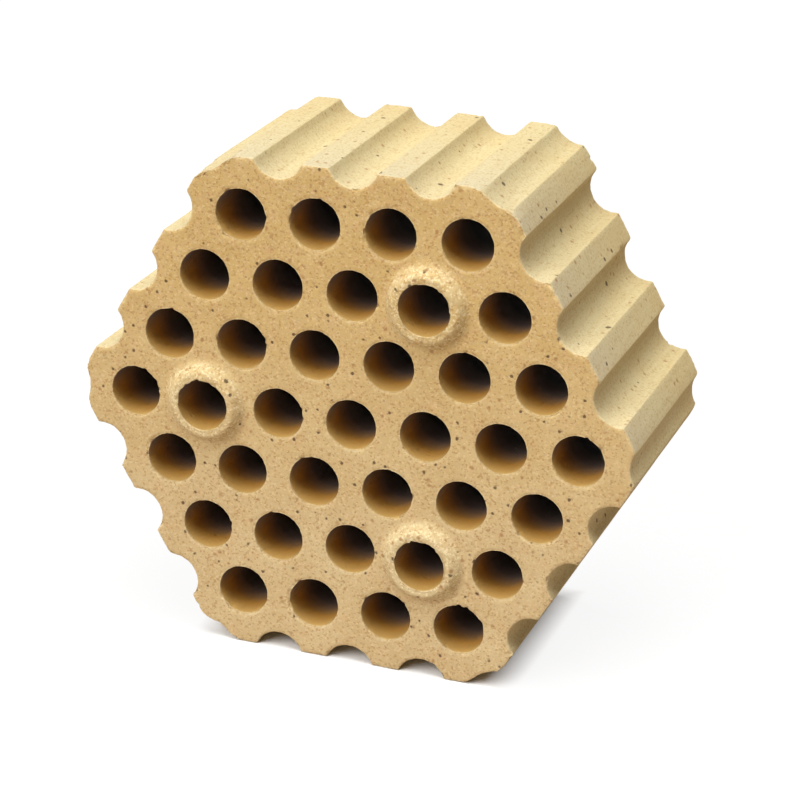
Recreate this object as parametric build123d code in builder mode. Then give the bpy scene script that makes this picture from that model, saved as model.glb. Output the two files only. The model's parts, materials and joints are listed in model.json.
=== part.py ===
from build123d import *
import os
from math import cos, radians, sin

# Hexagonal refractory checker brick, standing on one of its sides. Straight gas channels lie on a
# triangular lattice and run from the boss face, towards -Y, to the back face, towards +Y. Where the
# lattice runs into the sides and corners it leaves grooves, which form further channels with the
# bricks laid beside this one. Three bosses enter seats in the back face of the next brick.

# Driving dimensions, in millimetres
across_flats = 275.0  # between opposite sides of the hexagon
body_length = 120.0  # along the channels, from the boss face to the back face
channel_diameter = 27.0  # bore of the channels, and of those that two or three bricks form
channel_rings = 3  # rings of whole channels round the centre channel
side_setback = 4.5  # of the flats, inside the line through the axes of the channels along a seam
boss_height = 6.0  # above the boss face
boss_land = 5.0  # flat ring between a channel and the rim of its boss
boss_flare = 5.5  # of the boss's flank, from its rim out to its foot
boss_rounding = 2.0  # radius at the boss's rim and at its foot
boss_ring = 2  # ring of channels whose corners carry the bosses
boss_count = 3
seat_clearance = 1.0  # between a boss and its seat, all round and in depth
lip_chamfer = 1.2  # long edges between the grooves and the flats
outline_chamfer = 1.0  # edges of the hexagon on the boss face and the back face

# Sizes that follow from them
hexagon_sides = 6
corner_angle = 360 / hexagon_sides
seam_ring = channel_rings + 1
channel_radius = channel_diameter / 2
channel_pitch = (across_flats / 2 + side_setback) / (seam_ring * sin(radians(corner_angle)))
total_length = body_length + boss_height
boss_circle_radius = boss_ring * channel_pitch
boss_rim_radius = channel_radius + boss_land
boss_foot_radius = boss_rim_radius + boss_flare
seat_mouth_radius = boss_foot_radius + seat_clearance
seat_floor_radius = boss_rim_radius + seat_clearance
seat_depth = boss_height + seat_clearance
back_face = Plane(origin=(0, total_length / 2, across_flats / 2), x_dir=(1, 0, 0), z_dir=(0, -1, 0))
boss_face = back_face.offset(body_length)
base_on_the_face = (Align.CENTER, Align.CENTER, Align.MIN)


def ring_side(ring):
    """Channel axes on one side of a hexagonal ring, from its corner up to just before the next."""
    along_x = channel_pitch * cos(radians(corner_angle))
    along_y = channel_pitch * sin(radians(corner_angle))
    return [(ring * channel_pitch - step * along_x, step * along_y) for step in range(ring)]


def whole_circle(edge):
    """True for a round edge that runs all the way round."""
    return edge.geom_type == GeomType.CIRCLE and edge.is_closed


with BuildPart() as checker_brick:
    # Hexagon with its grooved sides and corners
    with BuildSketch(back_face):
        RegularPolygon(across_flats / 2, hexagon_sides, major_radius=False)
        with PolarLocations(0, hexagon_sides):
            with Locations(*ring_side(seam_ring)):
                Circle(channel_radius, mode=Mode.SUBTRACT)
    extrude(amount=body_length)
    chamfer(checker_brick.edges().filter_by(Axis.Y), lip_chamfer)

    # Bosses on the boss face, rounded at the foot and at the rim
    with Locations(boss_face):
        with PolarLocations(boss_circle_radius, boss_count, start_angle=corner_angle):
            Cone(boss_foot_radius, boss_rim_radius, boss_height, align=base_on_the_face)
    fillet(checker_brick.edges().filter_by(whole_circle), boss_rounding)

    # Seats in the back face, which take the bosses of the next brick
    with Locations(back_face):
        with PolarLocations(boss_circle_radius, boss_count, start_angle=corner_angle):
            Cone(
                seat_mouth_radius,
                seat_floor_radius,
                seat_depth,
                align=base_on_the_face,
                mode=Mode.SUBTRACT,
            )

    # Channels through the brick, its bosses and its seats
    with Locations(boss_face):
        Hole(channel_radius)
        with PolarLocations(0, hexagon_sides):
            for ring in range(1, seam_ring):
                with Locations(*ring_side(ring)):
                    Hole(channel_radius)

    # Broken edges round the outline of both faces
    end_faces = checker_brick.faces().filter_by(Axis.Y).sort_by(SortBy.AREA)[-2:]
    outlines = [edge for face in end_faces for edge in face.outer_wire().edges()]
    chamfer(outlines, outline_chamfer)

checker_brick.part.label = "checker_brick"

os.makedirs("parts", exist_ok=True)
export_step(checker_brick.part, "parts/checker_brick.step")
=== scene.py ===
# %% [markdown]
# # A refractory checker brick
# A checker brick is a hexagonal block of fired clay. Thousands of them fill a hot blast stove,
# where their channels store the heat of the gas that passes. The CAD model already gives this
# brick its true size. In this lesson we model its visible skin: grainy pressed faces, rubbed
# rims, smoother sides and channels whose walls carry painted shade, dark deep inside. Every piece
# is in metres and in the frame of the CAD model.

# %% Load the CAD frame
import json
import math
import random

import bmesh
import bpy
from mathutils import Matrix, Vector
from mathutils.kdtree import KDTree


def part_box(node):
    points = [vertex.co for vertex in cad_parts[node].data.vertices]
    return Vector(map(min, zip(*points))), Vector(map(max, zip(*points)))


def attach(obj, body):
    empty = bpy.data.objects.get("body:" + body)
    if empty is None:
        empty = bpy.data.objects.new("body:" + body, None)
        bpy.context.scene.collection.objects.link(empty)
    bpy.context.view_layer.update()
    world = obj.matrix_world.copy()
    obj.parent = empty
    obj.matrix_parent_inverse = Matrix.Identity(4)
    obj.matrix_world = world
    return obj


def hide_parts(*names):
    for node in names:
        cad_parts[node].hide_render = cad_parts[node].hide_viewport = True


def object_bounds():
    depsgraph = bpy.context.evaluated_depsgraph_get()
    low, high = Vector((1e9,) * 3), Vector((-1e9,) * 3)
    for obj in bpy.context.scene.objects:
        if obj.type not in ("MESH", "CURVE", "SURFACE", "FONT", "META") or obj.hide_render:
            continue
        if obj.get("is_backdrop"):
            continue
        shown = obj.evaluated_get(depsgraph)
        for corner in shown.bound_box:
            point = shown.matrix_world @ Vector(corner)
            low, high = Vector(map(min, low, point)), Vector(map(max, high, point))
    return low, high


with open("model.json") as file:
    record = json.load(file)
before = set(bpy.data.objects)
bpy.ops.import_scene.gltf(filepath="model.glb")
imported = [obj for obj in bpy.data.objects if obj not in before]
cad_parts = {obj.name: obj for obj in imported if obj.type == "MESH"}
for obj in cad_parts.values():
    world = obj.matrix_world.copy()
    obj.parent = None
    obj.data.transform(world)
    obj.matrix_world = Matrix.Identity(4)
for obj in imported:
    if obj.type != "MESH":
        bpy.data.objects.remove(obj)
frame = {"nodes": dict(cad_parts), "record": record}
cad_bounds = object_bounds()
print("CAD nodes:", sorted(frame["nodes"]))

# %% [markdown]
# Sizes are read from the CAD frame and its record, so that the skin fits the solid without a
# guess. The bores in the record give the radius of a channel, the pitch between two channels, the
# length of the body and the three places of the bosses.

# %% Measure the brick
MM = 0.001
low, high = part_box("checker_brick")
bores = {mount["name"]: mount for mount in frame["record"]["mounts"] if mount["kind"] == "bore"}
centre_bore = bores["hole_4_4"]
axis_height = centre_bore["pos_m"][2]
channel_radius = centre_bore["dims"]["r_mm"] * MM
body_length = centre_bore["dims"]["length_mm"] * MM
channel_pitch = bores["hole_2_3"]["pos_m"][0] - bores["hole_2_2"]["pos_m"][0]
boss_bores = [bores[name] for name in ("hole_2_4", "hole_4_2", "hole_6_4")]
boss_height = high.y - low.y - body_length
boss_channel_length = boss_bores[0]["dims"]["length_mm"] * MM
seat_depth = high.y - low.y - boss_channel_length
front_y = low.y + boss_height
back_y = high.y
half_flats = high.z - axis_height
print(f"pitch {channel_pitch / MM:.2f} mm")
print(f"boss {boss_height / MM:.1f} mm high, seat {seat_depth / MM:.1f} mm deep")

# %% [markdown]
# By hand one clicks the points to work on. A script picks them by their place: it puts a test to
# every vertex, edge or face of the mesh, and those that pass are selected for the next operator.

# %% Helpers for picking by place
TINY = 0.01 * MM
EDIT_KINDS = {"VERT": "verts", "EDGE": "edges", "FACE": "faces"}


def deselect_objects():
    bpy.ops.object.select_all(action="DESELECT")


def pick(kind, test):
    """Selects just the vertices, edges or faces of the mesh in edit mode that pass a test."""
    bpy.ops.mesh.select_mode(type=kind)
    bpy.ops.mesh.select_all(action="DESELECT")
    data = bpy.context.edit_object.data
    mesh = bmesh.from_edit_mesh(data)
    chosen = [item for item in getattr(mesh, EDIT_KINDS[kind]) if test(item)]
    for item in chosen:
        item.select_set(True)
    mesh.select_flush_mode()
    bmesh.update_edit_mesh(data)
    return len(chosen)


def pick_all():
    bpy.ops.mesh.select_all(action="SELECT")


# %% [markdown]
# The channels lie on a triangular lattice, so the face can be cut into equal hexagonal cells with
# one mouth in the middle of each. We could let Blender fill the face round the holes, but that
# gives long thin triangles which break under displacement. One neat cell of quads, copied, keeps
# the grid even. A circle is the mouth, a hexagon with as many points is the border, and a bridge
# joins the two.

# %% Model one cell of the face
MOUTH_POINTS = 60
FACE_RINGS = 6
HEXAGON_SIDES = 6
SIXTH_TURN = math.radians(360 / HEXAGON_SIDES)
upright = (math.radians(90), 0, 0)
cell_centre = (0, front_y, axis_height)
cell_corner = channel_pitch / math.sqrt(3)

deselect_objects()
bpy.ops.mesh.primitive_circle_add(
    vertices=MOUTH_POINTS, radius=channel_radius, location=cell_centre, rotation=upright
)
brick = bpy.context.object
brick.name = "fired_brick"
bpy.ops.object.transform_apply(location=True, rotation=True, scale=True)
bpy.ops.object.mode_set(mode="EDIT")
bpy.ops.mesh.select_all(action="DESELECT")
bpy.ops.mesh.primitive_circle_add(
    vertices=HEXAGON_SIDES, radius=cell_corner, location=cell_centre, rotation=upright
)
bpy.ops.mesh.subdivide(number_cuts=MOUTH_POINTS // HEXAGON_SIDES - 1)
pick_all()
bpy.ops.mesh.bridge_edge_loops(number_cuts=FACE_RINGS - 1, interpolation="LINEAR")
print("faces in one cell:", len(bmesh.from_edit_mesh(brick.data).faces))

# %% [markdown]
# Four rings of cells round the middle one cover the whole hexagon. The cells of the fourth ring
# stick out past the sides: their mouths are the grooves that this brick shares with its
# neighbours.

# %% Copy the cell over the lattice
CHANNEL_RINGS = 3
SEAM_RING = CHANNEL_RINGS + 1
MIDDLE = (0.0, 0.0)


def lattice(rings):
    """Channel axes as (x, z) from the middle of the brick, row by row."""
    steps = range(-rings, rings + 1)
    row_height = channel_pitch * math.sin(SIXTH_TURN)
    return [
        (channel_pitch * (column + row / 2), row_height * row)
        for row in steps
        for column in steps
        if abs(column + row) <= rings
    ]


here = MIDDLE
pick_all()
for place in lattice(SEAM_RING):
    if place != MIDDLE:
        step = (place[0] - here[0], 0, place[1] - here[1])
        bpy.ops.mesh.duplicate_move(TRANSFORM_OT_translate={"value": step})
        here = place
pick_all()
bpy.ops.mesh.remove_doubles(threshold=TINY)
print("cells:", len(lattice(SEAM_RING)), "faces:", len(bmesh.from_edit_mesh(brick.data).faces))

# %% [markdown]
# Now the six sides are trimmed. Bisect cuts along one plane, so we trim the top and turn the
# whole sheet by a sixth, six times. Points that lie close to the cut are first flattened onto it,
# because a cut just beside a row of points leaves slivers that spoil the bevels later.

# %% Trim the six sides
NEAR_FLAT = 0.75 * MM
top_flat = axis_height + half_flats


def trim_top():
    pick("VERT", lambda v: abs(v.co.z - top_flat) < NEAR_FLAT)
    bpy.ops.transform.resize(value=(1, 1, 0), center_override=(0, front_y, top_flat))
    pick_all()
    bpy.ops.mesh.bisect(plane_co=(0, front_y, top_flat), plane_no=(0, 0, 1), clear_outer=True)
    pick("VERT", lambda v: abs(v.co.z - top_flat) < TINY)
    bpy.ops.mesh.remove_doubles(threshold=NEAR_FLAT)


for _ in range(HEXAGON_SIDES):
    trim_top()
    pick_all()
    bpy.ops.transform.rotate(value=SIXTH_TURN, orient_axis="Y", center_override=cell_centre)
print("faces in the trimmed face:", len(bmesh.from_edit_mesh(brick.data).faces))

# %% [markdown]
# The back face has the same outline and the same channels, so it is a copy of the front, flipped
# to look the other way.

# %% Copy the face to the back
pick_all()
bpy.ops.mesh.duplicate_move(TRANSFORM_OT_translate={"value": (0, body_length, 0)})
bpy.ops.mesh.flip_normals()
print("faces of both ends:", len(bmesh.from_edit_mesh(brick.data).faces))

# %% [markdown]
# Much of what follows depends on how far a point lies from the axis of a channel: that tells a
# mouth from a groove, a boss or a flat. We could go through all 61 axes for each point, but with
# tens of thousands of points that is slow. So the axes go into a tree that finds the nearest one
# quickly.

# %% Measure from the channel axes
def reach(point, axis):
    """Distance from a channel's axis."""
    return math.hypot(point.x - axis.x, point.z - axis.z)


def axis_tree(rings):
    """The channel axes out to a ring, ready to be searched by place."""
    places = lattice(rings)
    tree = KDTree(len(places))
    for number, (x, z) in enumerate(places):
        tree.insert((x, 0, axis_height + z), number)
    tree.balance()
    return tree


def nearest_axis(point):
    """Distance to the nearest channel or groove axis."""
    return channel_axes.find((point.x, 0, point.z))[2]


def soft_step(share):
    """Slides from 0 to 1 without a kink at either end."""
    share = min(max(share, 0), 1)
    return share * share * (3 - 2 * share)


channel_axes = axis_tree(SEAM_RING)
whole_channels = axis_tree(CHANNEL_RINGS)
print("whole channels:", len(lattice(CHANNEL_RINGS)), "with grooves:", len(lattice(SEAM_RING)))

# %% [markdown]
# Three channels come out through a boss, a low ring with a rounded rim that locks into the brick
# laid in front. A seat in the back face takes the boss of the brick behind. Both are shaped from
# the cell that is already there. To do that we need its rings of points, counted from the mouth
# outwards.

# %% Find the rings of a cell
SPOKE_SLANT = 0.8


def hexagon_reach(point, axis):
    """Distance from a cell's axis, measured square to the nearest side of the cell."""
    across, up = point.x - axis.x, (point.z - axis.z) * math.sin(SIXTH_TURN)
    return max(abs(across), abs(across / 2 + up), abs(across / 2 - up))


def in_cell(point, axis):
    return abs(point.y - axis.y) < TINY and hexagon_reach(point, axis) < channel_pitch / 2 + TINY


def is_spoke(edge, axis):
    """True for an edge of a cell that runs from its mouth towards its border."""
    start, end = edge.verts[0].co, edge.verts[1].co
    if not (in_cell(start, axis) and in_cell(end, axis)):
        return False
    outward = ((start + end) / 2 - axis).normalized()
    return abs((end - start).normalized().dot(outward)) > SPOKE_SLANT


def rings_of_cell(axis):
    """Numbers of the points of one cell, ring by ring from its mouth to its border."""
    mesh = bmesh.from_edit_mesh(brick.data)
    mesh.verts.index_update()
    mouth = channel_radius + TINY
    ring = {v for v in mesh.verts if in_cell(v.co, axis) and reach(v.co, axis) < mouth}
    rings, seen = [], set()
    while ring:
        seen |= ring
        rings.append({v.index for v in ring})
        linked = {edge.other_vert(v) for v in ring for edge in v.link_edges}
        ring = {v for v in linked - seen if in_cell(v.co, axis)}
    return rings


# %% [markdown]
# A boss is wider than its cell. So the cell's spokes are cut once more for finer rings, and each
# ring is drawn into a circle with its own radius and height along a soft S-shaped flank. The
# outermost becomes the foot. The points just outside are then smoothed, so that the grid follows
# the new border.

# %% Raise the bosses and sink the seats
BOSS_RIM, BOSS_FOOT = 17.0 * MM, 24.5 * MM
SEAT_FLOOR, SEAT_MOUTH = 18.5 * MM, 24.5 * MM
FIRST_RING = 14.9 * MM
SMOOTH_REACH = 0.8 * channel_pitch
SMOOTH_PASSES = 40


def redraw_cell(axis, foot, rim, rise):
    """Gives one cell a round border at foot and lifts its middle by rise, flat inside the rim."""
    pick("EDGE", lambda e: is_spoke(e, axis))
    bpy.ops.mesh.subdivide(number_cuts=1)
    rings = rings_of_cell(axis)
    for number, ring in enumerate(rings):
        radius = channel_radius + (foot - channel_radius) * number / (len(rings) - 1)
        pick("VERT", lambda v: v.index in ring)
        bpy.ops.transform.tosphere(value=1, center_override=axis)
        drawn = [v for v in bmesh.from_edit_mesh(brick.data).verts if v.select]
        grow = radius * len(drawn) / sum(reach(v.co, axis) for v in drawn)
        bpy.ops.transform.resize(value=(grow, 1, grow), center_override=axis)
        lift = rise * soft_step((foot - radius) / (foot - rim))
        bpy.ops.transform.translate(value=(0, lift, 0))

    own = set().union(*rings)

    def lies_around(v):
        on_the_face = abs(v.co.y - axis.y) < TINY and reach(v.co, axis) < SMOOTH_REACH
        free_to_move = not v.is_boundary and nearest_axis(v.co) > FIRST_RING
        return on_the_face and v.index not in own and free_to_move

    pick("VERT", lies_around)
    bpy.ops.mesh.vertices_smooth(factor=0.5, repeat=SMOOTH_PASSES)
    return len(rings)


boss_axes = [Vector((bore["pos_m"][0], front_y, bore["pos_m"][2])) for bore in boss_bores]
for boss_axis in boss_axes:
    boss_rings = redraw_cell(boss_axis, BOSS_FOOT, BOSS_RIM, -boss_height)
    seat_axis = Vector((boss_axis.x, back_y, boss_axis.z))
    redraw_cell(seat_axis, SEAT_MOUTH, SEAT_FLOOR, -seat_depth)
print("bosses and seats:", len(boss_axes), "of", boss_rings, "rings")

# %% [markdown]
# The mouths and the outline are open edges. Drawn out along the channels, they become the channel
# walls and the grooved sides. Short steps near the mouths give the light something to fall
# across, and long steps deep inside save faces that nobody sees. The last step lands on the back
# face, where the doubles are merged. A closed brick has no open edges left, which the last lines
# count.

# %% Draw out the channels and the sides
CHANNEL_STEPS = [2, 4, 7, 12, 20, 30, 29, 16]
SIDE_STEPS = [1.5, 2, 2.5, 3, 3.5, 4] + [5] * 16 + [2, 1.5, 1.5] + [5] + [4, 3.5, 3]
WALL_MARGIN = 20 * TINY
WELD = 2 * TINY


def on_channel(point):
    return whole_channels.find((point.x, 0, point.z))[2] < channel_radius + WALL_MARGIN


def on_boss(point):
    return any(reach(point, axis) < BOSS_FOOT for axis in boss_axes)


def front_edge(edge):
    return edge.is_boundary and edge.verts[0].co.y < front_y + TINY


def mouth_edge(edge):
    return front_edge(edge) and on_channel(edge.verts[0].co)


def draw_out(length, steps):
    """Extrudes the picked edges along the brick, in steps of these proportions."""
    for step in steps:
        along = length * step / sum(steps)
        bpy.ops.mesh.extrude_edges_move(TRANSFORM_OT_translate={"value": (0, along, 0)})


plain_edges = pick("EDGE", lambda e: mouth_edge(e) and not on_boss(e.verts[0].co))
draw_out(body_length, CHANNEL_STEPS)
boss_edges = pick("EDGE", lambda e: mouth_edge(e) and on_boss(e.verts[0].co))
draw_out(boss_channel_length, CHANNEL_STEPS)
outline_edges = pick("EDGE", lambda e: front_edge(e) and not on_channel(e.verts[0].co))
draw_out(body_length, SIDE_STEPS)
print("mouth edges:", plain_edges, "on bosses:", boss_edges, "outline edges:", outline_edges)
pick_all()
bpy.ops.mesh.remove_doubles(threshold=WELD)
bpy.ops.mesh.normals_make_consistent(inside=False)
bpy.ops.mesh.select_mode(type="EDGE")
bpy.ops.mesh.select_all(action="DESELECT")
bpy.ops.mesh.select_non_manifold()
open_edges = sum(e.select for e in bmesh.from_edit_mesh(brick.data).edges)
print("open edges:", open_edges, "faces:", len(bmesh.from_edit_mesh(brick.data).faces))

# %% [markdown]
# A pressed brick has no knife edges. The long lips between grooves and flats stay fairly crisp,
# while the mouths and the outline are rubbed more. So the lips are bevelled first, with the
# narrower width, and marked sharp. The points of both bevels are kept as vertex groups for the
# wear that comes later.

# %% Round the lips, the mouths and the outline
LIP_ROUNDING = 0.35 * MM
RIM_ROUNDING = 0.65 * MM
SHARP = math.radians(50)
CRISP = math.radians(15)


def is_lengthwise(edge, angle):
    """True for an edge of the sides that runs along the brick and bends by more than an angle."""
    start, end = edge.verts[0].co, edge.verts[1].co
    return reach(start, end) < TINY and edge.calc_face_angle(0) > angle and not on_channel(start)


lips = pick("EDGE", lambda e: is_lengthwise(e, SHARP))
bpy.ops.mesh.bevel(offset=LIP_ROUNDING, segments=2, affect="EDGES", clamp_overlap=False)
bpy.ops.object.vertex_group_assign_new()
brick.vertex_groups.active.name = "lips"
pick("EDGE", lambda e: is_lengthwise(e, CRISP))
bpy.ops.mesh.mark_sharp()
rims = pick("EDGE", lambda e: e.calc_face_angle(0) > SHARP)
bpy.ops.mesh.bevel(offset=RIM_ROUNDING, segments=2, affect="EDGES", clamp_overlap=False)
bpy.ops.object.vertex_group_assign_new()
brick.vertex_groups.active.name = "rims"
pick_all()
bpy.ops.mesh.normals_make_consistent(inside=False)
bpy.ops.object.mode_set(mode="OBJECT")
triangles = sum(len(face.vertices) - 2 for face in brick.data.polygons)
print("lip edges:", lips, "rim edges:", rims, "triangles:", triangles)

# %% [markdown]
# The finish differs from zone to zone: the pressed faces are grainy, the sides carry a paler skin
# that is greyer on their flats, the rims are rubbed and the bosses dusty. The channels get painted
# shade, darker deep inside and on their upper walls. A material can't see which part of the brick
# it is on, so we write a small function for each zone.

# %% Tell the zones apart
DEEP = 40 * MM
FLAT_EDGE = 1.5 * MM


def depth_in_channel(point):
    """From 0 at a mouth to 1 where the channel is dark."""
    if not on_channel(point):
        return 0
    start, end = (low.y, back_y - seat_depth) if on_boss(point) else (front_y, back_y)
    inside = min(point.y - start, end - point.y)
    return min(max(inside / DEEP, 0), 1)


def low_in_channel(point):
    """From -1 at the top of a channel's wall to 1 at its bottom."""
    axis = whole_channels.find((point.x, 0, point.z))[0]
    return (axis.z - point.z) / channel_radius


def is_side(point):
    between_faces = front_y + RIM_ROUNDING - TINY < point.y < back_y - RIM_ROUNDING + TINY
    return between_faces and not on_channel(point) and not on_boss(point)


def flat_share(point):
    """From 0 in a groove to 1 on the flats between the grooves."""
    return soft_step((nearest_axis(point) - channel_radius) / FLAT_EDGE)


def boss_share(point):
    """From 0 on the face to 1 a third of the way up a boss."""
    return soft_step(3 * (front_y - point.y) / boss_height)


def on_end_face(point):
    at_an_end = min(point.y - front_y, back_y - point.y) < RIM_ROUNDING / 2
    return not on_channel(point) and (at_an_end or on_boss(point))


# %% [markdown]
# Now each point of the mesh gets six numbers, stored as attributes that the material can read.
# They are set before the surface is roughened, while every point still lies where it was drawn.

# %% Mark the zones
ZONES = ("skin", "flat", "depth", "rim", "boss", "low")
for name in ZONES:
    brick.data.attributes.new(name, "FLOAT", "POINT")
zones = {name: brick.data.attributes[name].data for name in ZONES}
rim_group = brick.vertex_groups["rims"].index
for vertex in brick.data.vertices:
    groups = {group.group for group in vertex.groups}
    zones["skin"][vertex.index].value = float(is_side(vertex.co))
    zones["flat"][vertex.index].value = flat_share(vertex.co)
    zones["depth"][vertex.index].value = depth_in_channel(vertex.co)
    zones["rim"][vertex.index].value = float(rim_group in groups)
    zones["boss"][vertex.index].value = boss_share(vertex.co)
    zones["low"][vertex.index].value = low_in_channel(vertex.co)
face_points = [v.index for v in brick.data.vertices if on_end_face(v.co)]
brick.vertex_groups.new(name="faces").add(face_points, 1, "REPLACE")
print("points on the two faces:", len(face_points), "of", len(brick.data.vertices))

# %% [markdown]
# Handling has worn the corners of the boss face, some of them almost flat. As for the trimming,
# the brick is turned by a sixth six times, and each time the corner towards +X is pressed in by
# scaling it towards the bottom of its groove. The turns bring up the right corner first, then the
# lower right one, and so on round to the top right. Each has its own share of lip left at the
# face. Nested picks, each shorter than the last, make the wear strong at the face and let it fade
# out along the brick.

# %% Wear the corners
EVEN_WEAR = 0.8
LIP_LEFT = [0.95, 0.5, 0.3, 0.45, 0.2, 0.45]
WEAR_REACHES = [17 * MM, 9 * MM, 4 * MM, 1 * MM]
corner_floor = SEAM_RING * channel_pitch - channel_radius
floor_point = (corner_floor, 0, axis_height)
deselect_objects()
brick.select_set(True)
bpy.context.view_layer.objects.active = brick
bpy.ops.object.mode_set(mode="EDIT")
for kept in LIP_LEFT:
    squeezes = [(body_length, EVEN_WEAR)]
    squeezes += [(back_to, kept ** (1 / len(WEAR_REACHES))) for back_to in WEAR_REACHES]
    for back_to, squeeze in squeezes:
        pick("VERT", lambda v: v.co.x > corner_floor and v.co.y < front_y + back_to + TINY)
        bpy.ops.transform.resize(value=(squeeze, 1, 1), center_override=floor_point)
    pick_all()
    bpy.ops.transform.rotate(value=SIXTH_TURN, orient_axis="Y", center_override=cell_centre)
bpy.ops.object.mode_set(mode="OBJECT")
print("lip left at the corners:", LIP_LEFT)

# %% [markdown]
# Mouths and edges are chipped here and there. Large chips are placed where they show most. A chip
# on a mouth has a row, a hole in that row, an angle on its rim and a size. A chip on the outline
# has its place from the brick's axis and behind the boss face, and a size, all in millimetres.
# Smaller chips fall by chance on the rims, with a fixed seed so that every run gives the same
# brick.

# %% Place the chips
MOUTH_CHIPS = [
    (1, 1, 205, 3.2), (1, 1, 231, 3.0), (1, 1, 121, 2.6), (1, 3, 140, 2.4), (5, 1, 149, 2.6),
    (7, 1, 203, 2.6), (7, 1, 233, 3.4), (7, 2, 190, 3.2), (7, 2, 165, 2.4), (7, 4, 24, 3.0),
]
EDGE_CHIPS = [
    (101, 0, 99, 3.0), (97, 0, 105, 2.2), (90, 0, 116, 3.2), (83, 0, 128, 3.0), (72, 0, 137, 3.6),
    (112.9, 102, 79.4, 3.4),
]
SMALL_CHIPS = 150
SMALL_CHIP_SIZES = (1.2, 2.2)
chance = random.Random(27)


def hole_axis(row, hole):
    """Axis of a channel, counted from the top row and from the left."""
    height = (SEAM_RING - row) * channel_pitch * math.sin(SIXTH_TURN)
    in_row = 2 * SEAM_RING - 1 - abs(SEAM_RING - row)
    return Vector(((hole - (in_row + 1) / 2) * channel_pitch, front_y, axis_height + height))


chips = []
for row, hole, angle, size in MOUTH_CHIPS:
    outward = Vector((math.cos(math.radians(angle)), 0, math.sin(math.radians(angle))))
    chips.append((hole_axis(row, hole) + outward * channel_radius, size * MM))
for x, behind, z, size in EDGE_CHIPS:
    chips.append((Vector((x * MM, front_y + behind * MM, axis_height + z * MM)), size * MM))
rim_zone = brick.data.attributes["rim"].data
rim_points = [v.co.copy() for v in brick.data.vertices if rim_zone[v.index].value > 0]
for _ in range(SMALL_CHIPS):
    chips.append((chance.choice(rim_points), chance.uniform(*SMALL_CHIP_SIZES) * MM))
print("chips:", len(chips))

# %% [markdown]
# All points near a chip get a weight that falls off towards its border. The weights form a vertex
# group, by which a modifier will push the points in. The bosses get a group of their own, because
# they are rougher than the face.

# %% Weigh the points for the wear
chip_tree = KDTree(len(chips))
for number, (place, size) in enumerate(chips):
    chip_tree.insert(place, number)
chip_tree.balance()
chip_group = brick.vertex_groups.new(name="chips")
chipped = 0
for vertex in brick.data.vertices:
    place, number, distance = chip_tree.find(vertex.co)
    weight = soft_step(1 - distance / chips[number][1])
    if weight > 0:
        chip_group.add([vertex.index], weight, "REPLACE")
        chipped += 1
raised = [v for v in brick.data.vertices if v.co.y < front_y - RIM_ROUNDING]
boss_points = [v.index for v in raised if on_boss(v.co)]
brick.vertex_groups.new(name="bosses").add(boss_points, 1, "REPLACE")
print("chipped points:", chipped, "boss points:", len(boss_points))

# %% [markdown]
# A fired brick is never quite true. Displace modifiers push the points inwards along noise, each
# on its own part: deep bites at the chips, broad waves everywhere, shallow pits on the faces, and
# ragged wear on bosses, rims and lips. A mid level of one keeps every push inwards, so the brick
# never grows past its drawn size. Afterwards the vertex groups have done their work and are
# removed.

# %% Roughen the surface
SMOOTH_BELOW = math.radians(40)


def roughen(name, grain_size, depth, group="", basis="BLENDER_ORIGINAL"):
    """Wears the points of a group inwards by up to depth, in patches of about grain_size."""
    noise = bpy.data.textures.new(name, "CLOUDS")
    noise.noise_scale = grain_size
    noise.noise_basis = basis
    bpy.ops.object.modifier_add(type="DISPLACE")
    wear = brick.modifiers[-1]
    wear.texture = noise
    wear.texture_coords = "LOCAL"
    wear.mid_level = 1.0
    wear.strength = depth
    wear.vertex_group = group
    bpy.ops.object.modifier_apply(modifier=wear.name)


roughen("chipped_spots", 1.8 * MM, 2.4 * MM, "chips")
roughen("firing_waves", 16 * MM, 0.35 * MM)
roughen("face_pits", 2.6 * MM, 0.45 * MM, "faces", "VORONOI_F1")
roughen("rough_bosses", 4 * MM, 0.8 * MM, "bosses")
roughen("rubbed_rims", 2.4 * MM, 0.6 * MM, "rims")
roughen("rubbed_lips", 5 * MM, 0.3 * MM, "lips")
bpy.ops.object.vertex_group_remove(all=True)
bpy.ops.object.shade_smooth_by_angle(angle=SMOOTH_BELOW)
print("points after wear:", len(brick.data.vertices))

# %% [markdown]
# The material is one set of nodes for the whole brick. Small helpers keep the node building
# readable: one adds a node, one blends two colours, one does sums and one stretches a range. All
# patterns run on Object coordinates turned into millimetres, so a grain size is written as it
# would be measured.

# %% Node helpers
clay = bpy.data.materials.new("fired_clay")
clay.use_nodes = True
nodes, links = clay.node_tree.nodes, clay.node_tree.links


def add_node(kind, inputs=None, **settings):
    """Adds a node, sets its options and feeds its inputs with numbers, colours or other outputs."""
    node = nodes.new("ShaderNode" + kind)
    for name, value in settings.items():
        setattr(node, name, value)
    for name, value in (inputs or {}).items():
        if isinstance(value, bpy.types.NodeSocket):
            links.new(value, node.inputs[name])
        else:
            node.inputs[name].default_value = value
    return node


def colour(red, green, blue):
    return (red, green, blue, 1.0)


def blend(share, under, over):
    mix = add_node("Mix", {0: share, 6: under, 7: over}, data_type="RGBA", blend_type="MIX")
    return mix.outputs[2]


def calc(operation, first, second=0.0):
    return add_node("Math", {0: first, 1: second}, operation=operation).outputs[0]


def stretch(value, start, end, low_end=0.0, high_end=1.0):
    """Maps the span from start to end onto the span from low_end to high_end, and clamps it."""
    span = {"From Min": start, "From Max": end, "To Min": low_end, "To Max": high_end}
    return add_node("MapRange", {"Value": value, **span}).outputs[0]


# %% [markdown]
# A second handful of helpers makes the patterns: soft noise, and crushed grains as the cells of a
# Voronoi pattern. The zones come in as attributes.

# %% Pattern helpers
def zone(name):
    return add_node("Attribute", attribute_name=name).outputs["Fac"]


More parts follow.
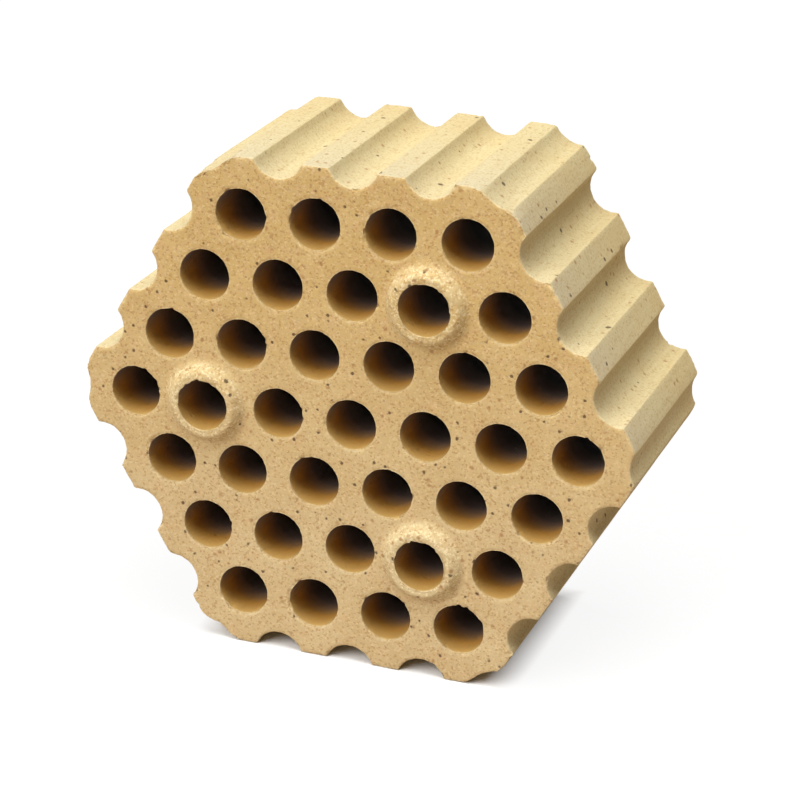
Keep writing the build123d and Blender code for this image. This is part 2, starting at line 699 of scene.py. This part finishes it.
def noise_of(place, size, detail=3.0, roughness=0.55):
    inputs = {"Vector": place, "Scale": 1 / size, "Detail": detail, "Roughness": roughness}
    return add_node("TexNoise", inputs).outputs["Fac"]


def cells_of(place, size):
    """Distance to the middle of a grain, and two numbers that are the same all over one grain."""
    grains = add_node("TexVoronoi", {"Vector": place, "Scale": 1 / size})
    mixed = add_node("SeparateColor", {"Color": grains.outputs["Color"]})
    return grains.outputs["Distance"], mixed.outputs["Red"], mixed.outputs["Green"]


where = add_node("TexCoord").outputs["Object"]
in_mm = add_node("Mapping", {"Vector": where, "Scale": (1000, 1000, 1000)}).outputs["Vector"]
axes = add_node("SeparateXYZ", {"Vector": where}).outputs
skin, flat, depth, rim, boss, low_wall = [zone(name) for name in ZONES]
print("zones in the clay:", ZONES)

# %% [markdown]
# Under everything lies the body of the clay: a tan that drifts between straw and a pinker brown
# over a few centimetres, and that is paler and greyer low down on the brick. Crushed grains of
# about a millimetre sit in it, some pale, some brown and some grey.

# %% Clay body and grains
DRIFT_SIZE, PATCH_SIZE, GRAIN_SIZE = 24, 8, 0.95
WARM_ABOVE, PALE_BELOW = axis_height + 70 * MM, axis_height - 60 * MM
drift = stretch(noise_of(in_mm, DRIFT_SIZE, 3), 0.35, 0.65)
patches = stretch(noise_of(in_mm, PATCH_SIZE, 4), 0.5, 0.75)
body = blend(drift, colour(0.60, 0.425, 0.178), colour(0.56, 0.388, 0.153))
low_body = blend(drift, colour(0.615, 0.48, 0.26), colour(0.575, 0.43, 0.22))
body = blend(stretch(axes["Z"], WARM_ABOVE, PALE_BELOW), body, low_body)
body = blend(calc("MULTIPLY", patches, 0.5), body, colour(0.61, 0.385, 0.20))
_, grain_chance, grain_tint = cells_of(in_mm, GRAIN_SIZE)
pale_grains = calc("MULTIPLY", stretch(grain_chance, 0.80, 0.95), 0.35)
brown_grains = calc("MULTIPLY", stretch(grain_chance, 0.25, 0.03), 0.6)
grey_grains = calc("MULTIPLY", stretch(grain_tint, 0.7, 0.95), 0.3)
face = blend(grey_grains, body, colour(0.50, 0.43, 0.29))
face = blend(pale_grains, face, colour(0.76, 0.62, 0.36))
face = blend(brown_grains, face, colour(0.40, 0.22, 0.08))
print("nodes so far:", len(nodes))

# %% [markdown]
# The sides slid along the mould, which left a paler skin with faint streaks along the brick. The
# same noise squeezed to a twentieth along Y makes the streaks. Towards the boss face the flats
# turn grey, towards the back the skin is warmer, and a fine mottle and some grains break it up.

# %% Skin of the sides
STREAK_SIZE, MOTTLE_SIZE = 2.2, 1.2
along_brick = add_node("Mapping", {"Vector": where, "Scale": (1000, 50, 1000)}).outputs["Vector"]
streaks = stretch(noise_of(along_brick, STREAK_SIZE, 3), 0.3, 0.7)
skin_clay = blend(streaks, colour(0.655, 0.575, 0.33), colour(0.605, 0.505, 0.265))
skin_clay = blend(calc("MULTIPLY", drift, 0.35), skin_clay, colour(0.63, 0.50, 0.26))
near_front = calc("POWER", stretch(axes["Y"], back_y, front_y), 2)
greyed = calc("MULTIPLY", near_front, stretch(flat, 0, 1, 0.25, 0.6))
skin_clay = blend(greyed, skin_clay, colour(0.56, 0.52, 0.40))
near_back = calc("MULTIPLY", stretch(axes["Y"], 0, back_y), drift)
skin_clay = blend(calc("MULTIPLY", near_back, 0.5), skin_clay, colour(0.60, 0.45, 0.21))
mottle = stretch(noise_of(in_mm, MOTTLE_SIZE, 4, 0.7), 0.35, 0.65)
skin_clay = blend(calc("MULTIPLY", mottle, 0.5), skin_clay, colour(0.50, 0.385, 0.185))
skin_clay = blend(calc("MULTIPLY", brown_grains, 0.8), skin_clay, colour(0.42, 0.27, 0.11))
surface = blend(skin, face, skin_clay)
print("nodes so far:", len(nodes))

# %% [markdown]
# The bosses rub against the next brick, so their skin is broken: dust lies on them in patches,
# and pale grains stand out. Dust is a broad noise, and for the grains we take more of the same
# cells that make up the clay. Both are held to the bosses by multiplying them with that zone.

# %% Dust and grains on the bosses
DUST_SIZE = 4
dusty = calc("MULTIPLY", boss, stretch(noise_of(in_mm, DUST_SIZE, 3), 0.38, 0.62, 0.0, 0.5))
surface = blend(dusty, surface, colour(0.68, 0.575, 0.33))
crust = calc("MULTIPLY", boss, stretch(grain_chance, 0.6, 0.9, 0.0, 0.6))
surface = blend(crust, surface, colour(0.80, 0.69, 0.43))
print("nodes so far:", len(nodes))

# %% [markdown]
# Iron in the clay melts into specks. Three kinds show: dark ones, a few to every square
# centimetre, softer orange ones, and many fine brown ones. Each is a small disc round the middle
# of a wide Voronoi grain, and a chance for each grain decides whether it has a speck at all and
# how large it is. The skin of the sides has fewer. Noise added to the coordinates makes the discs
# ragged.

# %% Iron specks
RAGGED_BY = (1.1, 1.1, 1.1)


def specks(place, size, share, radius, softness, skin_share=0.4):
    """Discs up to radius, in millimetres, in a share of the grains of a coarse pattern."""
    distance, picked, scale = cells_of(place, size)
    edge = calc("MULTIPLY", stretch(scale, 0, 1, 0.45, 1.0), radius / size)
    disc = stretch(calc("SUBTRACT", edge, distance), 0, softness / size)
    present = calc("LESS_THAN", picked, stretch(skin, 0, 1, share, skin_share * share))
    return calc("MULTIPLY", disc, present)


ragged = add_node("TexNoise", {"Vector": in_mm, "Scale": 0.7, "Detail": 2.0}).outputs["Color"]
warp = add_node("VectorMath", {0: ragged, 1: RAGGED_BY}, operation="MULTIPLY").outputs[0]
warped = add_node("VectorMath", {0: in_mm, 1: warp}, operation="ADD").outputs[0]
shifted = add_node("Mapping", {"Vector": warped, "Location": (31, 17, 53)}).outputs["Vector"]
dark_specks = specks(warped, 6.5, share=0.5, radius=1.7, softness=0.5, skin_share=0.25)
orange_specks = specks(shifted, 4.4, share=0.55, radius=1.6, softness=0.9)
fine_specks = specks(shifted, 2.2, share=0.4, radius=0.75, softness=0.35, skin_share=0.5)
surface = blend(calc("MULTIPLY", fine_specks, 0.55), surface, colour(0.36, 0.205, 0.08))
surface = blend(calc("MULTIPLY", orange_specks, 0.75), surface, colour(0.34, 0.165, 0.06))
surface = blend(calc("MULTIPLY", dark_specks, 0.85), surface, colour(0.085, 0.05, 0.028))
print("nodes so far:", len(nodes))

# %% [markdown]
# In the channels the clay is more orange a little way in. Shade is painted into the walls: they
# darken to nearly black deep down, and the upper walls are painted darker than the lower ones. On
# the rims the skin is rubbed off in patches, and the pale clay under it shows through broken noise.

# %% Channels and rims
RUB_SIZE = 1.6
wall_clay_and_painted_shade = blend(stretch(depth, 0, 0.36), colour(0.47, 0.30, 0.095), colour(0.52, 0.255, 0.045))
# painted shade: the upper walls of a channel are coloured dark grey
wall_clay_and_painted_shade = blend(stretch(low_wall, -0.45, 0.25), colour(0.17, 0.125, 0.115), wall_clay_and_painted_shade)
# painted shade: deeper in, the walls darken towards nearly black
wall_clay_and_painted_shade = blend(stretch(depth, 0.34, 0.7), wall_clay_and_painted_shade, colour(0.22, 0.15, 0.115))
wall_clay_and_painted_shade = blend(stretch(depth, 0.65, 1.0), wall_clay_and_painted_shade, colour(0.045, 0.04, 0.036))
surface = blend(stretch(depth, 0.0, 0.05), surface, wall_clay_and_painted_shade)
rubbed = calc("MULTIPLY", rim, stretch(noise_of(in_mm, RUB_SIZE, 3), 0.4, 0.6, 0.0, 0.5))
surface = blend(rubbed, surface, colour(0.76, 0.64, 0.38))
print("nodes so far:", len(nodes))

# %% [markdown]
# Last comes the relief that is too fine for the mesh. Bump bends the light over grains and pits.
# It is strong on the faces and weak on the skin of the sides. Fired clay is matt, so the shader
# is rough and has little gloss.

# %% Relief and shader
GRIT_SIZE = 0.9
grit = noise_of(in_mm, GRIT_SIZE, 4, 0.65)
grit_height = calc("MULTIPLY", grit, stretch(skin, 0, 1, 1.0, 0.35))
pitted = calc("MAXIMUM", dark_specks, calc("MULTIPLY", orange_specks, 0.4))
relief = add_node("Bump", {
    "Strength": 0.8,
    "Distance": 0.5 * MM,
    "Height": calc("ADD", grit_height, calc("MULTIPLY", pitted, -0.8)),
}).outputs["Normal"]
shader = nodes["Principled BSDF"]
shader.inputs["Roughness"].default_value = 0.92
shader.inputs["Specular IOR Level"].default_value = 0.2
links.new(surface, shader.inputs["Base Color"])
links.new(relief, shader.inputs["Normal"])
brick.data.materials.append(clay)
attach(brick, "root")
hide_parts("checker_brick")
print("nodes in the clay:", len(nodes))

# %% [markdown]
# The floor is white paper. To the camera it is bright, so that the background stays white and
# only the shadow under the brick shows: away from the brick's foot the paper glows, and the glow
# fades out towards the foot. To the light that bounces it is a dull brown, because a white floor
# would light the brick from below and wash out the shade on its lower sides.

# %% White floor
FLOOR_SIZE = 12
FOOT_WIDTH = 2 * half_flats / math.sqrt(3)
GLOW_FROM, GLOW_TO, GLOW_MOST = -5.5 * MM, 14 * MM, 0.9


def seen_directly():
    """1 for what the camera, a mirror or a pane sees, and 0 for light that bounces."""
    ray = add_node("LightPath").outputs
    through = calc("MAXIMUM", ray["Is Glossy Ray"], ray["Is Transmission Ray"])
    return calc("MAXIMUM", ray["Is Camera Ray"], through)


deselect_objects()
bpy.ops.mesh.primitive_plane_add(size=FLOOR_SIZE, location=(0, 0, low.z))
floor = bpy.context.object
floor.name = "studio_floor"
paper = bpy.data.materials.new("white_paper")
paper.use_nodes = True
nodes, links = paper.node_tree.nodes, paper.node_tree.links
bounce_paper = add_node("BsdfDiffuse", {"Color": colour(0.46, 0.37, 0.29)}).outputs[0]
seen_paper = add_node("BsdfDiffuse", {"Color": colour(0.9, 0.9, 0.9)}).outputs[0]
glow = add_node("Emission", {"Color": colour(1, 1, 1), "Strength": 1.0}).outputs[0]
spot = add_node("SeparateXYZ", {"Vector": add_node("TexCoord").outputs["Object"]}).outputs
beside = calc("SUBTRACT", calc("ABSOLUTE", spot["X"]), FOOT_WIDTH / 2)
before = calc("SUBTRACT", calc("ABSOLUTE", spot["Y"]), body_length / 2)
glow_share = stretch(calc("MAXIMUM", beside, before), GLOW_FROM, GLOW_TO, 0.0, GLOW_MOST)
lit_paper = add_node("MixShader", {0: glow_share, 1: seen_paper, 2: glow}).outputs[0]
sheet = add_node("MixShader", {0: seen_directly(), 1: bounce_paper, 2: lit_paper}).outputs[0]
links.new(sheet, nodes["Material Output"].inputs["Surface"])
floor.data.materials.append(paper)
floor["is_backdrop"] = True
print("nodes in the paper:", len(nodes))

# %% [markdown]
# Three broad lamps light the brick, each soft because it is wide. One hangs nearly straight
# above, so the top is brightest. One stands in front on the left: it shines into the channels and
# gives each boss a lit side and a shaded one. A weak one behind keeps the back face readable. A
# strength of pi on a surface that faces a lamp shows its colour just as written.

# %% Lamps
LAMP_SPREAD = math.radians(40)


def add_lamp(name, towards, level):
    """Broad distant lamp that shines from the direction towards, as seen from the brick."""
    deselect_objects()
    bpy.ops.object.light_add(type="SUN", location=towards)
    lamp = bpy.context.object
    lamp.name = name
    lamp.rotation_euler = Vector(towards).to_track_quat("Z", "Y").to_euler()
    lamp.data.energy = level * math.pi
    lamp.data.angle = LAMP_SPREAD


add_lamp("top_lamp", (0.106, -0.183, 0.977), 0.945)
add_lamp("front_lamp", (-0.35, -0.72, 0.6), 0.77)
add_lamp("rear_lamp", (0.0, 0.94, 0.35), 0.28)

# %% [markdown]
# The sky fills the shade. It is weak and warm for the light that reaches the brick, as if pale
# walls stood round it, and plain white where it is seen directly.

# %% Sky
SKY_LEVEL = 0.11
world = bpy.data.worlds.new("studio_sky")
bpy.context.scene.world = world
world.use_nodes = True
nodes, links = world.node_tree.nodes, world.node_tree.links
sky = nodes["Background"]
direct = seen_directly()
links.new(stretch(direct, 0, 1, SKY_LEVEL, 1.0), sky.inputs["Strength"])
links.new(blend(direct, colour(1.0, 0.80, 0.58), colour(1, 1, 1)), sky.inputs["Color"])
print("nodes in the sky:", len(nodes))

# %% [markdown]
# The camera looks from a little to the right and from above. It stands far off and has a long
# lens, so the brick shows little perspective. The Standard view shows every colour as it is lit.

# %% Camera
CAMERA_PLACE = (0.4787, -1.2684, 0.6884)
CAMERA_TURNS = [math.radians(turn) for turn in (67.619, -0.799, 20.773)]
deselect_objects()
bpy.ops.object.camera_add(location=CAMERA_PLACE, rotation=CAMERA_TURNS)
camera = bpy.context.object
camera.name = "photo_camera"
camera.data.lens = 123.05
camera.data.sensor_width = 36
camera.data.clip_start = 0.05
bpy.context.scene.camera = camera
bpy.context.scene.view_settings.view_transform = "Standard"
print("camera lens in mm:", camera.data.lens)

# %% [markdown]
# At the end the box round the visible brick is printed next to the box of the CAD model. The
# skin has only been worn inwards, so its box has to lie inside the other.

# %% Print the sizes and finish
visual_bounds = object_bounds()
sizes = {"cad": [list(corner) for corner in cad_bounds], "visual": [list(corner) for corner in visual_bounds]}
for name, box in sizes.items():
    print(name, "box in mm:", [[round(v / MM, 2) for v in corner] for corner in box])
